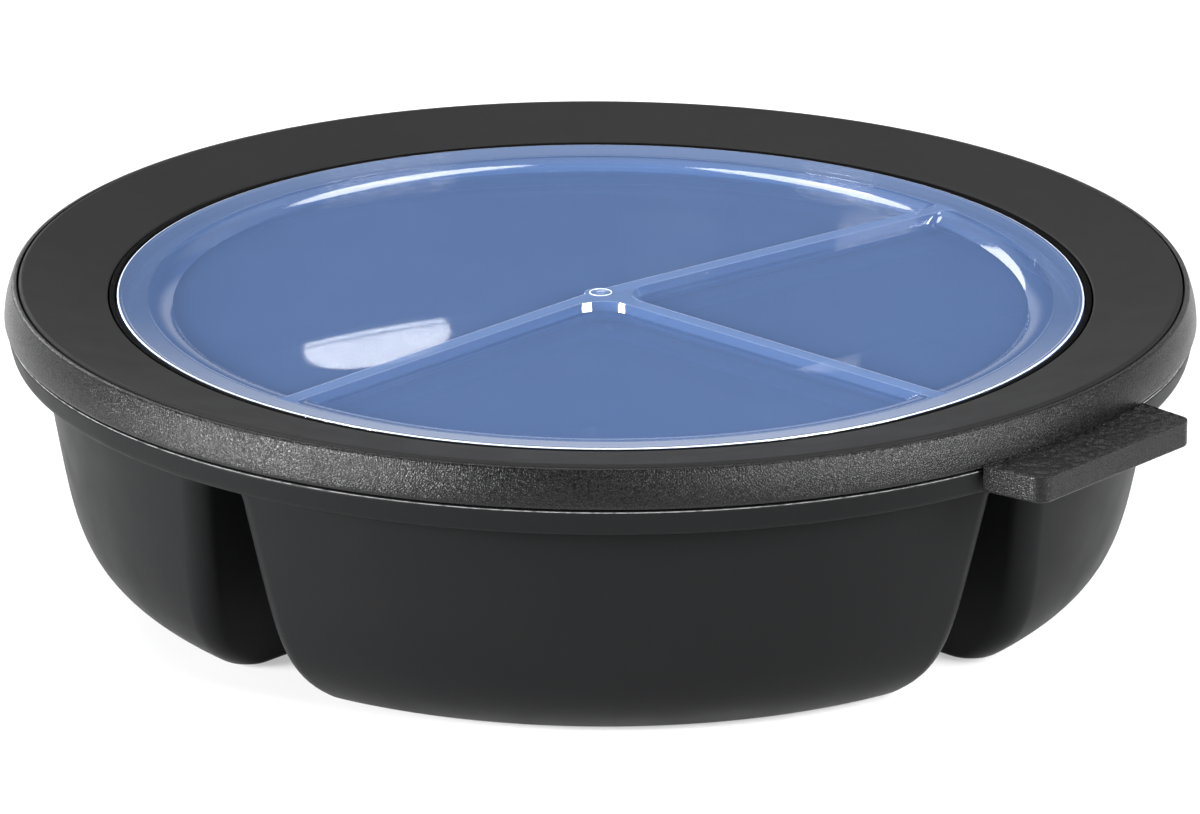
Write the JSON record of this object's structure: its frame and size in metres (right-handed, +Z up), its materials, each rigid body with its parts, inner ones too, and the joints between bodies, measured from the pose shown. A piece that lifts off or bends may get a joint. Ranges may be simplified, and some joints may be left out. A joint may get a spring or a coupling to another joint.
{
  "type": "divided bento bowl",
  "caption": "Round divided lunch bowl with lobed compartments, and a lift-off lid with a milky blue window, a soft grained edge and a pull tab.",
  "frame": {"origin": "on the floor under the bowl's axis", "axes": "+Z up along the bowl's axis, -Y to the front of the pictured view, +X to its right"},
  "size_m": [0.2, 0.2, 0.0523],
  "materials": {
    "shell": "charcoal, satin outside and polished inside",
    "ring": "fine satin charcoal",
    "band": "leather-like grain",
    "window": "milky denim blue, see-through",
    "seal": "matte black"
  },
  "bodies": {
    "bowl": {"bowl_shell": "shell"},
    "lid": {"lid_ring": "ring", "lid_band": "band", "lid_window": "window", "window_seal": "seal", "lid_seal": "seal"}
  },
  "joints": [
    {"name": "lid_lift", "type": "slide", "parent": "bowl", "child": "lid", "axis": [0, 0, 1], "range_m": [0, 0.06]}
  ]
}
